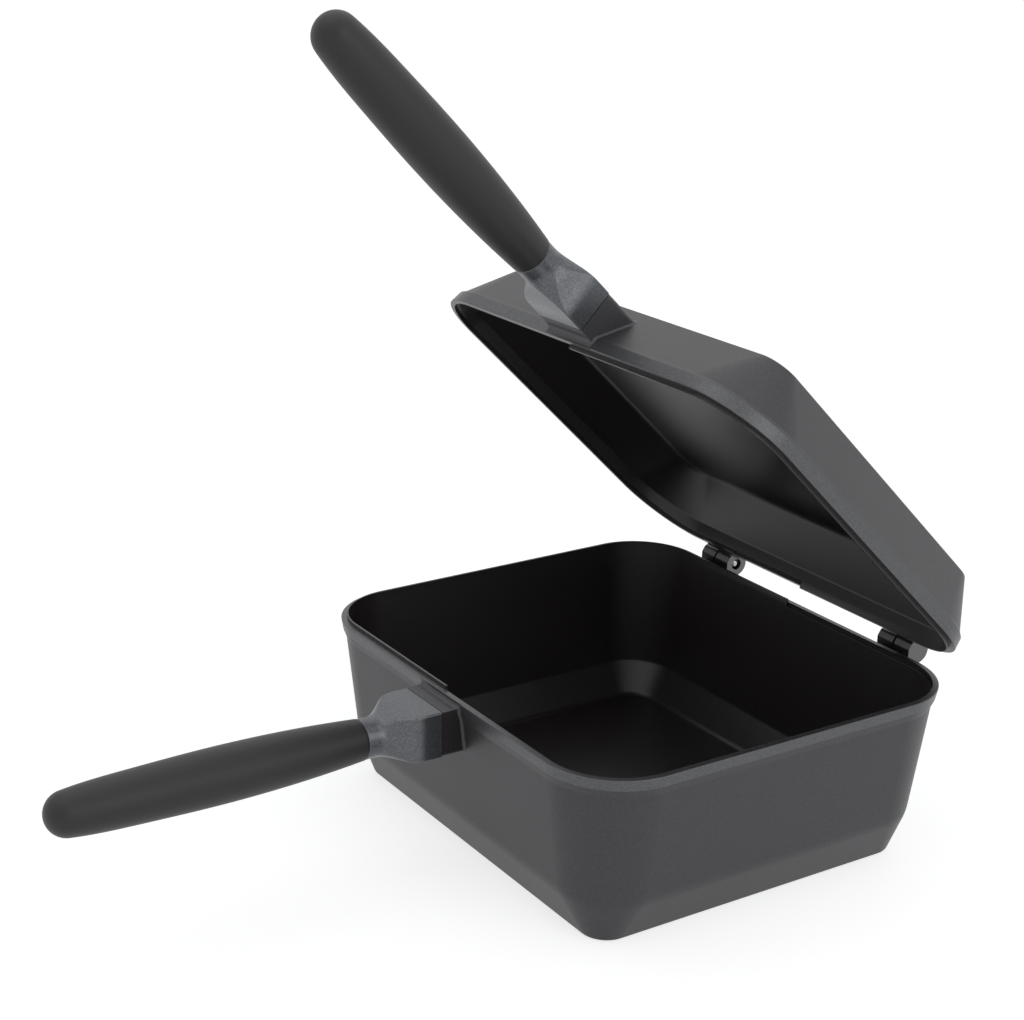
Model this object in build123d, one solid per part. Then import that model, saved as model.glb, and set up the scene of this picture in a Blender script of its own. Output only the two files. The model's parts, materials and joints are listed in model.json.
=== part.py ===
"""Double sided flip pan: a deep cast pan and a shallow one, hinged at the back, each with a round grip.

Millimetres, +Z up. The origin is the centre of the base's flat bottom. X runs along the hinge, the
handles point to -Y and the hinge is at +Y. The lid is built closed and then turned to its rest angle.
"""
from build123d import *
import math
import os

# Both pans, in plan
PAN_WIDTH = 288.0
PAN_DEPTH = 253.5
RIM_CORNER = 43.8
RIM_INNER_CORNER = 37.0
LIP_WALL = 5.0            # rim thickness, outside to inside

# Base, outside. Insets are from the rim's outline, heights from the table.
BASE_HEIGHT = 103.2
BASE_BAND = 6.2           # depth of the straight band below the rim
BASE_BAND_DRAFT = 0.8
BASE_STEP = 4.4           # height of the rounded step under the band
BASE_STEP_INSET = 2.2
BASE_KNEE_HEIGHT = 26.3   # where the wall turns into the bottom chamfer
BASE_KNEE_INSET = 10.5
BASE_FOOT_INSET = 22.6
BASE_KNEE_CORNER = 33.5
BASE_FOOT_CORNER = 14.0
BASE_FOOT_ROUND = 3.3

# Base, inside
BASE_FLOOR = 4.5
BASE_FLOOR_INSET = 25.0
BASE_FLOOR_CORNER = 18.0
BASE_INNER_KNEE_HEIGHT = 24.7
BASE_INNER_KNEE_INSET = 14.0
BASE_INNER_KNEE_CORNER = 28.0

# Lid, outside. Heights are above the lid's rim plane.
LID_HEIGHT = 38.0
LID_BAND = 7.2
LID_BAND_DRAFT = 0.8
LID_STEP = 1.8
LID_STEP_INSET = 2.2
LID_TOP_INSET = 22.1
LID_TOP_CORNER = 14.2
LID_TOP_ROUND = 3.0

# Lid, inside
LID_TOP_WALL = 3.0
LID_INNER_BAND = 9.2
LID_INNER_BAND_INSET = 5.9
LID_INNER_BAND_CORNER = 38.5
LID_INNER_TOP_INSET = 23.8
LID_INNER_TOP_CORNER = 16.0

# Lap between the two rims. The base carries the tongue at -X, the lid at +X.
RIM_GAP = 0.3
LIP = 3.4                 # outer lip that both rims keep all round
LAP_GAP = 0.25
TONGUE_HEIGHT = 2.0
TONGUE_ROOT = 0.3         # how far a tongue is rooted in its rim
TONGUE_END_GAP = 0.5
BASE_SPLIT_BACK = -4.3    # where the base's tongue gives way to its rebate at the back

# Hinge: axis behind the rim and just above the base's rim plane
HINGE_BEHIND_RIM = 12.5
HINGE_ABOVE_RIM = -1.0
REST_OPEN = 44.2
STOP_OPEN = 105.0
KNUCKLE_WIDTH = 12.0
KNUCKLE_GAP = 1.5
KNUCKLE_RADIUS = 7.6
KNUCKLE_BEVEL_START = 2.4
KNUCKLE_BEVEL_REACH = 5.3
KNUCKLE_BEVEL_TOP = 5.9
LEFT_HINGE_X = -98.5      # outer end of the left base knuckle
RIGHT_HINGE_X = 63.5      # inner end of the right base knuckle
LID_LUG_WIDTH = 30.0
LID_LUG_REACH = 3.8
LID_LUG_HEIGHT = 7.6
BASE_LUG_TOP = 3.6
BASE_LUG_FOOT = 20.0
STOP_GAP = 0.3
STOP_FACE = 4.0           # height of the lid knuckle's stop face
HINGE_PIN_RADIUS = 2.5
HINGE_PIN_RUNNING = 0.05
HINGE_PIN_DOME = 1.2
HINGE_PIN_WALL = 1.8      # metal left behind a blind pin hole
HINGE_PIN_SUNK = 0.6
PIN_MOUTH_RADIUS = 3.5
PIN_MOUTH_DEPTH = 2.2

# Front bosses
BOSS_WIDTH = 38.0
BOSS_REACH = 9.9
BASE_BOSS_TOP = 3.1       # below the base's rim plane
BASE_BOSS_BOTTOM = 29.7
LID_BOSS_BOTTOM = 4.2     # above the lid's rim plane
LID_BOSS_TOP = 29.0
RELIEF_CUT = 0.3          # how far the hollow above a boss cuts into the rim
RELIEF_STEP = 0.6         # how far below the rim it starts

# Handle line
BASE_GRIP_DROP = 17.1     # grip axis below the base's rim plane
LID_GRIP_RISE = 17.9      # grip axis above the lid's rim plane, at the grip's seat
LID_GRIP_TILT = 1.2
FERRULE_LENGTH = 40.75
COLLAR_RADIUS = 11.2

# Ferrule: hollow neck between a boss and a grip
FERRULE_WALL = 3.0
FERRULE_CORNER = 1.6
FERRULE_INNER_CORNER = 0.8
FERRULE_SHOULDER = 11.5   # how far out the neck keeps the boss's section
FERRULE_WAIST = 32.5      # how far out it has become round
FERRULE_WEB = 3.5
FERRULE_STEPS = 12        # straight-sided stretches in its curve
NUT_POCKET_RADIUS = 8.2
NUT_POCKET_DEPTH = 12.0
TAB_WIDTH = 18.0
TAB_HEIGHT = 4.6
TAB_REACH = 6.0
TAB_ROOT = 6.0
TAB_SKIN = 2.0            # boss metal under the tab
TAB_GAP = 0.15
CROSS_PIN_RADIUS = 1.0
CROSS_PIN_INSET = 3.6     # behind the boss's front face
CROSS_PIN_SUNK = 1.5
CROSS_PIN_BEYOND = 3.0

# Grip: soft sleeve over a hard core
GRIP_SEAT_RADIUS = 11.5
GRIP_THROAT_RADIUS = 13.55
GRIP_THROAT_AT = 28.0
GRIP_BELLY_RADIUS = 15.15
GRIP_BELLY_AT = 86.6
GRIP_HEEL_RADIUS = 14.4
GRIP_HEEL_AT = 126.0
GRIP_TIP_RADIUS = 12.2
GRIP_TIP_TAPER = 7.0
BASE_GRIP_LENGTH = 177.8
LID_GRIP_LENGTH = 173.2
SLEEVE_WALL = 2.2
SPIGOT_RADIUS = 7.9
SPIGOT_LENGTH = 4.0

# Stud and its fittings (M6)
STUD_RADIUS = 3.0
STUD_IN_BOSS = 11.5
STUD_IN_GRIP = 14.0
STUD_CLEARANCE = 0.3
NUT_FLATS = 10.0
NUT_HEIGHT = 5.2
WASHER_RADIUS = 6.0
WASHER_HEIGHT = 1.5
WASHER_DISH = 0.4
INSERT_RADIUS = 5.0
INSERT_LENGTH = 22.0

OVERSHOOT = 2.0           # how far a cutting tool runs past a face
ROUND_MARGIN = 0.02       # what a rounded rectangle keeps of its straight sides

RIM_FRONT = -PAN_DEPTH / 2
RIM_BACK = PAN_DEPTH / 2
LID_PLANE = BASE_HEIGHT + RIM_GAP
BOSS_FACE = RIM_FRONT - BOSS_REACH
HINGE_Y = RIM_BACK + HINGE_BEHIND_RIM
HINGE_Z = BASE_HEIGHT + HINGE_ABOVE_RIM
HINGE = Location((0, HINGE_Y, HINGE_Z))
OPEN_LID = HINGE * Rot(-REST_OPEN, 0, 0) * HINGE.inverse()
FAR = PAN_WIDTH + PAN_DEPTH


def section(inset, height, corner):
    """The rim's outline, moved in by inset, at a height."""
    return Pos(0, 0, height) * RectangleRounded(PAN_WIDTH - 2 * inset, PAN_DEPTH - 2 * inset, corner)


def shell_form(*sections):
    """A solid with straight walls from each (inset, height, corner) to the next."""
    return loft([section(*each) for each in sections], ruled=True)


def side_prism(outline, x_from, x_to):
    """A solid from x_from to x_to with the given outline of (y, z) corners."""
    face = make_face(Polyline(*outline, close=True))
    return extrude(Plane.YZ.offset(x_from) * face, x_to - x_from)


def block(low, high):
    """A box between two corners."""
    size = [b - a for a, b in zip(low, high)]
    return Pos(*low) * Box(*size, align=(Align.MIN, Align.MIN, Align.MIN))


def rod_along_x(radius, x_from, x_to, y, z):
    """A round rod that lies along X."""
    return Pos(x_from, y, z) * Rot(0, 90, 0) * Cylinder(
        radius, x_to - x_from, align=(Align.CENTER, Align.CENTER, Align.MIN)
    )


def rod_out(radius, start, end):
    """A round rod along a handle's own Z axis, from start to end."""
    return Pos(0, 0, start) * Cylinder(radius, end - start, align=(Align.CENTER, Align.CENTER, Align.MIN))


# Shells

def base_outside():
    knee = (BASE_KNEE_INSET, BASE_KNEE_HEIGHT, BASE_KNEE_CORNER)
    slope = math.atan2(BASE_FOOT_INSET - BASE_KNEE_INSET, BASE_KNEE_HEIGHT)
    turn = BASE_FOOT_ROUND * math.tan((math.pi / 2 - slope) / 2)
    foot_side = (
        BASE_FOOT_INSET - turn * math.sin(slope),
        turn * math.cos(slope),
        BASE_FOOT_CORNER + turn,
    )
    foot = (BASE_FOOT_INSET + turn, 0, BASE_FOOT_CORNER)
    return shell_form(
        foot,
        foot_side,
        knee,
        (BASE_STEP_INSET, BASE_HEIGHT - BASE_BAND - BASE_STEP, RIM_CORNER),
        (BASE_BAND_DRAFT, BASE_HEIGHT - BASE_BAND, RIM_CORNER),
        (0, BASE_HEIGHT, RIM_CORNER),
    )


def base_inside():
    return shell_form(
        (BASE_FLOOR_INSET, BASE_FLOOR, BASE_FLOOR_CORNER),
        (BASE_INNER_KNEE_INSET, BASE_INNER_KNEE_HEIGHT, BASE_INNER_KNEE_CORNER),
        (LIP_WALL, BASE_HEIGHT, RIM_INNER_CORNER),
        (LIP_WALL, BASE_HEIGHT + OVERSHOOT, RIM_INNER_CORNER),
    )


def lid_outside():
    step_top = LID_BAND + LID_STEP
    slope = math.atan2(LID_TOP_INSET - LID_STEP_INSET, LID_HEIGHT - step_top)
    turn = LID_TOP_ROUND * math.tan((math.pi / 2 - slope) / 2)
    return shell_form(
        (0, LID_PLANE, RIM_CORNER),
        (LID_BAND_DRAFT, LID_PLANE + LID_BAND, RIM_CORNER),
        (LID_STEP_INSET, LID_PLANE + step_top, RIM_CORNER),
        (
            LID_TOP_INSET - turn * math.sin(slope),
            LID_PLANE + LID_HEIGHT - turn * math.cos(slope),
            LID_TOP_CORNER + turn,
        ),
        (LID_TOP_INSET + turn, LID_PLANE + LID_HEIGHT, LID_TOP_CORNER),
    )


def lid_inside():
    return shell_form(
        (LIP_WALL, LID_PLANE - OVERSHOOT, RIM_INNER_CORNER),
        (LIP_WALL, LID_PLANE, RIM_INNER_CORNER),
        (LID_INNER_BAND_INSET, LID_PLANE + LID_INNER_BAND, LID_INNER_BAND_CORNER),
        (LID_INNER_TOP_INSET, LID_PLANE + LID_HEIGHT - LID_TOP_WALL, LID_INNER_TOP_CORNER),
    )


# Lap

def tongue_ring(plane, side, window):
    """The part inside the window of the ring that stands on a rim. side is +1 on the base, -1 on the lid."""
    low, high = sorted((plane - side * TONGUE_ROOT, plane + side * TONGUE_HEIGHT))
    outer = LIP + LAP_GAP
    ring = section(outer, low, RIM_CORNER - outer) - section(LIP_WALL, low, RIM_INNER_CORNER)
    return extrude(ring, high - low) & window


def rebate(plane, side, window):
    """What a rebate takes out of a rim inside the window: everything within the outer lip."""
    low, high = sorted((plane - side * (TONGUE_HEIGHT + RIM_GAP), plane + side * OVERSHOOT))
    return extrude(section(LIP, low, RIM_CORNER - LIP), high - low) & window


def rim_window(x_from, x_to, y_from, y_to):
    """An upright box about both rims, between two X and two Y limits."""
    return block((x_from, y_from, 0), (x_to, y_to, FAR))


# Hinge

def hinge_places():
    """Each hinge's base knuckle and lid knuckle, as (start, end) along X."""
    for start in (LEFT_HINGE_X, RIGHT_HINGE_X):
        lid_start = start + KNUCKLE_WIDTH + KNUCKLE_GAP
        yield (start, start + KNUCKLE_WIDTH), (lid_start, lid_start + KNUCKLE_WIDTH)


def knuckle(start, end):
    """A knuckle about the hinge axis: round at the back, flat and bevelled at the front."""
    r = KNUCKLE_RADIUS
    outline = [
        Polyline((0, -r), (-r, -r * math.tan(math.radians(30))), (-r, KNUCKLE_BEVEL_START)),
        Polyline((-r, KNUCKLE_BEVEL_START), (-KNUCKLE_BEVEL_REACH, KNUCKLE_BEVEL_TOP), (0, r)),
        ThreePointArc((0, r), (r, 0), (0, -r)),
    ]
    face = make_face(Curve() + outline)
    return HINGE * extrude(Plane.YZ.offset(start) * face, end - start)


def base_lug(start, end):
    """The gusset that carries a base knuckle, rooted in the middle of the wall."""
    root = -HINGE_BEHIND_RIM - (LIP_WALL + BASE_STEP_INSET) / 2
    outline = [
        (root, -BASE_LUG_TOP),
        (0, -BASE_LUG_TOP),
        (KNUCKLE_RADIUS / 2, -KNUCKLE_RADIUS * math.cos(math.radians(30))),
        (root, -BASE_LUG_FOOT),
    ]
    return HINGE * side_prism(outline, start, end)


def lid_lug(start, end):
    """The thick place on the lid's rim and the web that carries the lid knuckle."""
    root = -HINGE_BEHIND_RIM - LIP_WALL + 1
    floor = RIM_GAP - HINGE_ABOVE_RIM
    reach = -HINGE_BEHIND_RIM + LID_LUG_REACH
    middle = (start + end) / 2
    pad = [
        (root, floor),
        (reach, floor),
        (reach, floor + LID_LUG_HEIGHT / 2),
        (-HINGE_BEHIND_RIM - LID_BAND_DRAFT, floor + LID_LUG_HEIGHT),
        (root, floor + LID_LUG_HEIGHT),
    ]
    web = [(root, floor), (0, floor), (0, KNUCKLE_RADIUS), (root, KNUCKLE_RADIUS)]
    pad_solid = side_prism(pad, middle - LID_LUG_WIDTH / 2, middle + LID_LUG_WIDTH / 2)
    return HINGE * (pad_solid + side_prism(web, start, end))


def lid_stop(start, end):
    """The heel on a lid knuckle. It meets the base's band when the lid is at its stop."""
    face_y = -HINGE_BEHIND_RIM + STOP_GAP
    outline = [
        (0, -KNUCKLE_RADIUS),
        (face_y, -STOP_FACE * 0.75),
        (face_y, STOP_FACE * 0.25),
        (0, KNUCKLE_RADIUS / 2),
    ]
    at_stop = side_prism(outline, start, end)
    return HINGE * Rot(STOP_OPEN, 0, 0) * at_stop


def pin_hole(start, end, radius):
    return rod_along_x(radius, start, end, HINGE_Y, HINGE_Z)


def hinge_pin(inner_end, outer_end):
    """A pin from its domed inner end to its flat outer end."""
    length = abs(outer_end - inner_end)
    shoulder = length - HINGE_PIN_DOME
    ball = (HINGE_PIN_RADIUS**2 + HINGE_PIN_DOME**2) / (2 * HINGE_PIN_DOME)
    half_way = math.asin(HINGE_PIN_RADIUS / ball) / 2
    half = [
        Polyline((0, length), (0, 0), (HINGE_PIN_RADIUS, 0), (HINGE_PIN_RADIUS, shoulder)),
        ThreePointArc(
            (HINGE_PIN_RADIUS, shoulder),
            (ball * math.sin(half_way), length - ball * (1 - math.cos(half_way))),
            (0, length),
        ),
    ]
    pin = revolve(Plane.XZ * make_face(Curve() + half), Axis.Z)
    turn = 90 if inner_end > outer_end else -90
    return Pos(outer_end, HINGE_Y, HINGE_Z) * Rot(0, turn, 0) * pin


# Bosses

def relief_outline(top, side):
    """The round hollow between a rim and its boss, as (y, z). side is +1 on the base and -1 on the lid."""
    plane = BASE_HEIGHT if side > 0 else LID_PLANE
    step_y = RIM_FRONT + RELIEF_CUT
    step_z = plane - side * RELIEF_STEP
    hollow_z = plane - side * top
    radius = top - RELIEF_STEP
    middle = radius * math.sin(math.pi / 4)
    open_z = plane + side * (TONGUE_HEIGHT + OVERSHOOT)
    face_y = BOSS_FACE - OVERSHOOT
    lines = [
        ThreePointArc(
            (step_y, step_z),
            (step_y - radius + middle, step_z - side * middle),
            (step_y - radius, hollow_z),
        ),
        Polyline(
            (step_y - radius, hollow_z),
            (face_y, hollow_z),
            (face_y, open_z),
            (step_y, open_z),
            (step_y, step_z),
        ),
    ]
    return make_face(Curve() + lines)


def relief(top, side):
    outline = relief_outline(top, side)
    cut = extrude(Plane.YZ.offset(-BOSS_WIDTH / 2) * outline, BOSS_WIDTH)
    outer = LIP + LAP_GAP
    lip_side = RIM_FRONT + outer
    plane = BASE_HEIGHT if side > 0 else LID_PLANE
    keep = block((-BOSS_WIDTH, lip_side, plane - OVERSHOOT), (BOSS_WIDTH, lip_side + LIP_WALL, plane + FAR))
    return cut - keep


def tab_box(plane, side, bottom, grow):
    """The ferrule's tab, or with grow its pocket in the boss."""
    skin_z = plane - side * (bottom - TAB_SKIN)
    low_z, high_z = sorted((skin_z, skin_z + side * TAB_HEIGHT))
    return block(
        (-TAB_WIDTH / 2 - grow, BOSS_FACE - TAB_ROOT, low_z - grow),
        (TAB_WIDTH / 2 + grow, BOSS_FACE + TAB_REACH + grow, high_z + grow),
    )


def cross_pin(plane, side, bottom, radius, sunk):
    """The pin through a boss and its tab. It goes in from +X on the base and from -X on the lid."""
    z = plane - side * (bottom - TAB_SKIN - TAB_HEIGHT / 2)
    head = side * (BOSS_WIDTH / 2 - sunk)
    tail = -side * (TAB_WIDTH / 2 + CROSS_PIN_BEYOND)
    low_x, high_x = sorted((head, tail))
    return rod_along_x(radius, low_x, high_x, BOSS_FACE + CROSS_PIN_INSET, z)


# Handle frames: Z runs outward along the grip, and the origin is where the grip meets the collar

BASE_SEAT = Location(
    Plane(origin=(0, BOSS_FACE - FERRULE_LENGTH, BASE_HEIGHT - BASE_GRIP_DROP), x_dir=(1, 0, 0), z_dir=(0, -1, 0))
)
TILT = math.radians(LID_GRIP_TILT)
LID_SEAT = Location(
    Plane(
        origin=(0, BOSS_FACE - FERRULE_LENGTH, LID_PLANE + LID_GRIP_RISE),
        x_dir=(1, 0, 0),
        z_dir=(0, -math.cos(TILT), math.sin(TILT)),
    )
)


def seat_axis(seat):
    """The way a handle points."""
    return Plane(seat).z_dir


def neck_section(seat, low_z, high_z, share, shrink):
    """One section of a ferrule, share of the way from the boss's face to the collar, drawn in by shrink."""
    reach = share * FERRULE_LENGTH
    eased = min(max((reach - FERRULE_SHOULDER) / (FERRULE_WAIST - FERRULE_SHOULDER), 0), 1)
    blend = eased * eased * (3 - 2 * eased)
    axis_z = seat.position.Z
    low = low_z + (axis_z - COLLAR_RADIUS - low_z) * blend
    high = high_z + (axis_z + COLLAR_RADIUS - high_z) * blend
    width = BOSS_WIDTH + (2 * COLLAR_RADIUS - BOSS_WIDTH) * blend
    corner = FERRULE_CORNER + (COLLAR_RADIUS - FERRULE_CORNER) * blend
    size = (width - 2 * shrink, high - low - 2 * shrink)
    corner = min(max(corner - shrink, FERRULE_INNER_CORNER), min(size) / 2 - ROUND_MARGIN)
    tilt = math.acos(min(-seat_axis(seat).Y, 1)) * share
    plane = Plane(
        origin=(0, BOSS_FACE - reach, (low + high) / 2),
        x_dir=(1, 0, 0),
        z_dir=(0, -math.cos(tilt), math.sin(tilt)),
    )
    return plane * RectangleRounded(*size, corner)


def neck(seat, low_z, high_z, shrink):
    """The ferrule's outer form, or with shrink its hollow."""
    shares = [step / FERRULE_STEPS for step in range(FERRULE_STEPS + 1)]
    return loft([neck_section(seat, low_z, high_z, share, shrink) for share in shares], ruled=True)


def ferrule(seat, plane, side, low_z, high_z, bottom):
    body = neck(seat, low_z, high_z, 0)
    hollow_end = BOSS_FACE - FERRULE_LENGTH + NUT_POCKET_DEPTH + FERRULE_WEB
    window = block((-FAR, hollow_end, 0), (FAR, BOSS_FACE, FAR))
    body -= neck(seat, low_z, high_z, FERRULE_WALL) & window
    body -= seat * rod_out(NUT_POCKET_RADIUS, -NUT_POCKET_DEPTH, OVERSHOOT)
    body -= seat * rod_out(STUD_RADIUS + STUD_CLEARANCE, -FERRULE_LENGTH, OVERSHOOT)
    body += tab_box(plane, side, bottom, 0)
    return body - cross_pin(plane, side, bottom, CROSS_PIN_RADIUS, 0)


def stud():
    return rod_out(STUD_RADIUS, -FERRULE_LENGTH - STUD_IN_BOSS, STUD_IN_GRIP)


def spring_washer():
    floor = -NUT_POCKET_DEPTH
    half = Polyline(
        (STUD_RADIUS + STUD_CLEARANCE, floor + WASHER_DISH),
        (WASHER_RADIUS, floor),
        (WASHER_RADIUS, floor + WASHER_HEIGHT - WASHER_DISH),
        (STUD_RADIUS + STUD_CLEARANCE, floor + WASHER_HEIGHT),
        close=True,
    )
    return revolve(Plane.XZ * make_face(half), Axis.Z)


def nut():
    start = -NUT_POCKET_DEPTH + WASHER_HEIGHT
    blank = RegularPolygon(NUT_FLATS / 2, 6, major_radius=False) - Circle(STUD_RADIUS)
    return extrude(Pos(0, 0, start) * blank, NUT_HEIGHT)


def grip_form(length, shrink):
    """The grip's round form about Z, drawn in by shrink."""
    taper = math.radians(GRIP_TIP_TAPER)
    tip_centre = length - GRIP_TIP_RADIUS
    tip = GRIP_TIP_RADIUS - shrink
    join = (tip * math.cos(taper), tip_centre + tip * math.sin(taper))
    side = Spline(
        (GRIP_SEAT_RADIUS - shrink, 0),
        (GRIP_THROAT_RADIUS - shrink, GRIP_THROAT_AT),
        (GRIP_BELLY_RADIUS - shrink, GRIP_BELLY_AT),
        (GRIP_HEEL_RADIUS - shrink, GRIP_HEEL_AT),
        join,
        tangents=[(0.09, 1), (-math.sin(taper), math.cos(taper))],
    )
    dome = ThreePointArc(
        join,
        (tip * math.cos(math.radians(48)), tip_centre + tip * math.sin(math.radians(48))),
        (0, tip_centre + tip),
    )
    closing = Polyline((0, tip_centre + tip), (0, 0), (GRIP_SEAT_RADIUS - shrink, 0))
    return revolve(Plane.XZ * make_face(Curve() + [side, dome, closing]), Axis.Z)


def grip_core(length):
    core = grip_form(length, SLEEVE_WALL)
    core += rod_out(SPIGOT_RADIUS, -SPIGOT_LENGTH, OVERSHOOT)
    insert_end = INSERT_LENGTH - SPIGOT_LENGTH
    core -= rod_out(INSERT_RADIUS, -SPIGOT_LENGTH - OVERSHOOT, insert_end)
    return core - rod_out(STUD_RADIUS + STUD_CLEARANCE, 0, insert_end + OVERSHOOT)


def grip_sleeve(length):
    return grip_form(length, 0) - grip_form(length, SLEEVE_WALL)


def grip_insert():
    outer = rod_out(INSERT_RADIUS, -SPIGOT_LENGTH, INSERT_LENGTH - SPIGOT_LENGTH)
    return outer - rod_out(STUD_RADIUS, -SPIGOT_LENGTH - OVERSHOOT, INSERT_LENGTH)


def handle_parts(name, seat, length):
    """Everything that sits on one handle's own axis."""
    return {
        name + "_stud": seat * stud(),
        name + "_spring_washer": seat * spring_washer(),
        name + "_ferrule_nut": seat * nut(),
        name + "_grip_insert": seat * grip_insert(),
        name + "_grip_core": seat * grip_core(length),
        name + "_grip": seat * grip_sleeve(length),
    }


# The two castings

def base_pan():
    body = base_outside()
    body += block(
        (-BOSS_WIDTH / 2, BOSS_FACE, BASE_HEIGHT - BASE_BOSS_BOTTOM),
        (BOSS_WIDTH / 2, RIM_FRONT + LIP_WALL, BASE_HEIGHT - RELIEF_STEP),
    )
    for own, other in hinge_places():
        body += knuckle(*own)
        body += base_lug(*own)
    body -= base_inside()
    for end, y_from, y_to in ((0, -FAR, 0), (BASE_SPLIT_BACK, 0, FAR)):
        body += tongue_ring(BASE_HEIGHT, 1, rim_window(-FAR, end - TONGUE_END_GAP, y_from, y_to))
        body -= rebate(BASE_HEIGHT, 1, rim_window(end, FAR, y_from, y_to))
    body -= relief(BASE_BOSS_TOP, 1)
    for (start, end), other in hinge_places():
        left = start < 0
        blind = start + HINGE_PIN_WALL if left else start
        body -= pin_hole(blind, end if left else end + OVERSHOOT, HINGE_PIN_RADIUS)
    body -= BASE_SEAT * rod_out(STUD_RADIUS, -FERRULE_LENGTH - STUD_IN_BOSS, OVERSHOOT)
    body -= tab_box(BASE_HEIGHT, 1, BASE_BOSS_BOTTOM, TAB_GAP)
    return body - cross_pin(BASE_HEIGHT, 1, BASE_BOSS_BOTTOM, CROSS_PIN_RADIUS, 0)


def lid_pan():
    body = lid_outside()
    body += block(
        (-BOSS_WIDTH / 2, BOSS_FACE, LID_PLANE + RELIEF_STEP),
        (BOSS_WIDTH / 2, RIM_FRONT + LID_TOP_INSET, LID_PLANE + LID_BOSS_TOP),
    )
    for other, own in hinge_places():
        body += knuckle(*own).moved(OPEN_LID.inverse())
        body += lid_lug(*own)
        body += lid_stop(*own)
    body -= lid_inside()
    body += tongue_ring(LID_PLANE, -1, rim_window(TONGUE_END_GAP, FAR, -FAR, FAR))
    body -= rebate(LID_PLANE, -1, rim_window(-FAR, 0, -FAR, FAR))
    body -= relief(LID_BOSS_BOTTOM, -1)
    bore = HINGE_PIN_RADIUS + HINGE_PIN_RUNNING
    for other, (start, end) in hinge_places():
        left = start < 0
        body -= pin_hole(start - OVERSHOOT, end + OVERSHOOT if left else end - HINGE_PIN_WALL, bore)
        if left:
            body -= pin_hole(end - PIN_MOUTH_DEPTH, end + OVERSHOOT, PIN_MOUTH_RADIUS)
    body -= LID_SEAT * rod_out(STUD_RADIUS, -FERRULE_LENGTH - STUD_IN_BOSS, OVERSHOOT)
    body -= tab_box(LID_PLANE, -1, LID_BOSS_TOP, TAB_GAP)
    return body - cross_pin(LID_PLANE, -1, LID_BOSS_TOP, CROSS_PIN_RADIUS, 0)


def hinge_pins():
    (left_base, left_lid), (right_base, right_lid) = hinge_places()
    left = hinge_pin(left_lid[1] - HINGE_PIN_SUNK, left_base[0] + HINGE_PIN_WALL)
    right = hinge_pin(right_base[0] + HINGE_PIN_SUNK, right_lid[1] - HINGE_PIN_WALL - RIM_GAP)
    return {"left_hinge_pin": left, "right_hinge_pin": right}


def build():
    base = {"base_pan": base_pan()}
    base["base_ferrule"] = ferrule(
        BASE_SEAT, BASE_HEIGHT, 1, BASE_HEIGHT - BASE_BOSS_BOTTOM, BASE_HEIGHT - BASE_BOSS_TOP, BASE_BOSS_BOTTOM
    )
    base["base_ferrule_pin"] = cross_pin(BASE_HEIGHT, 1, BASE_BOSS_BOTTOM, CROSS_PIN_RADIUS, CROSS_PIN_SUNK)
    base.update(handle_parts("base", BASE_SEAT, BASE_GRIP_LENGTH))
    base.update(hinge_pins())

    lid = {"lid_pan": lid_pan()}
    lid["lid_ferrule"] = ferrule(
        LID_SEAT, LID_PLANE, -1, LID_PLANE + LID_BOSS_BOTTOM, LID_PLANE + LID_BOSS_TOP, LID_BOSS_TOP
    )
    lid["lid_ferrule_pin"] = cross_pin(LID_PLANE, -1, LID_BOSS_TOP, CROSS_PIN_RADIUS, CROSS_PIN_SUNK)
    lid.update(handle_parts("lid", LID_SEAT, LID_GRIP_LENGTH))

    parts = dict(base)
    for name, shape in lid.items():
        parts[name] = shape.moved(OPEN_LID)
    return parts


os.makedirs("parts", exist_ok=True)
for node, shape in build().items():
    export_step(shape, f"parts/{node}.step")
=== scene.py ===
"""A double sided flip pan: two dark cast pans hinged at the back, each with a metal neck and a black grip.

Metres, +Z up, handles towards -Y. Pieces of the lid are modelled closed, and then turned to rest.
"""

import json
import math

import bmesh
import bpy
from mathutils import Matrix, Vector
from mathutils.geometry import interpolate_bezier


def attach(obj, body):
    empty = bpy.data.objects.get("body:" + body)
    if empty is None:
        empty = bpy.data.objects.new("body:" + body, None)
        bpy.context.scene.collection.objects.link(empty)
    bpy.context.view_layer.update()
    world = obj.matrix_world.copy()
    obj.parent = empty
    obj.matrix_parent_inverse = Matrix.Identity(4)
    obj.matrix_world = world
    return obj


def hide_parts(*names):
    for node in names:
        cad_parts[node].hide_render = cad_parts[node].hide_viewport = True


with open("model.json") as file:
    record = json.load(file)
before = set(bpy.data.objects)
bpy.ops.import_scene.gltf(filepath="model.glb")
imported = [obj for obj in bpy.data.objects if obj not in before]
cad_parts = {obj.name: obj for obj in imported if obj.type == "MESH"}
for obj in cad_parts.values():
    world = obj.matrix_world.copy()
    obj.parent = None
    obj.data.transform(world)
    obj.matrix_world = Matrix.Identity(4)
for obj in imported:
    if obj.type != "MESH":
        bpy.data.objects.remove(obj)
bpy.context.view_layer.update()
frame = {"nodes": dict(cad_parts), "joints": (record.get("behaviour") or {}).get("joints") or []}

MM = 0.001
UP = Vector((0, 0, 1))
BACK = Vector((0, 1, 0))
SMOOTH_ANGLE = 32.0

# Both castings in plan
PAN_WIDTH = 288.0 * MM
PAN_DEPTH = 253.5 * MM
RIM_CORNER = 43.8 * MM
RIM_INNER_CORNER = 37.0 * MM
RIM_FRONT = -PAN_DEPTH / 2
CORNER_STEPS = 26
ROUND_STEPS = 6

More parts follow.
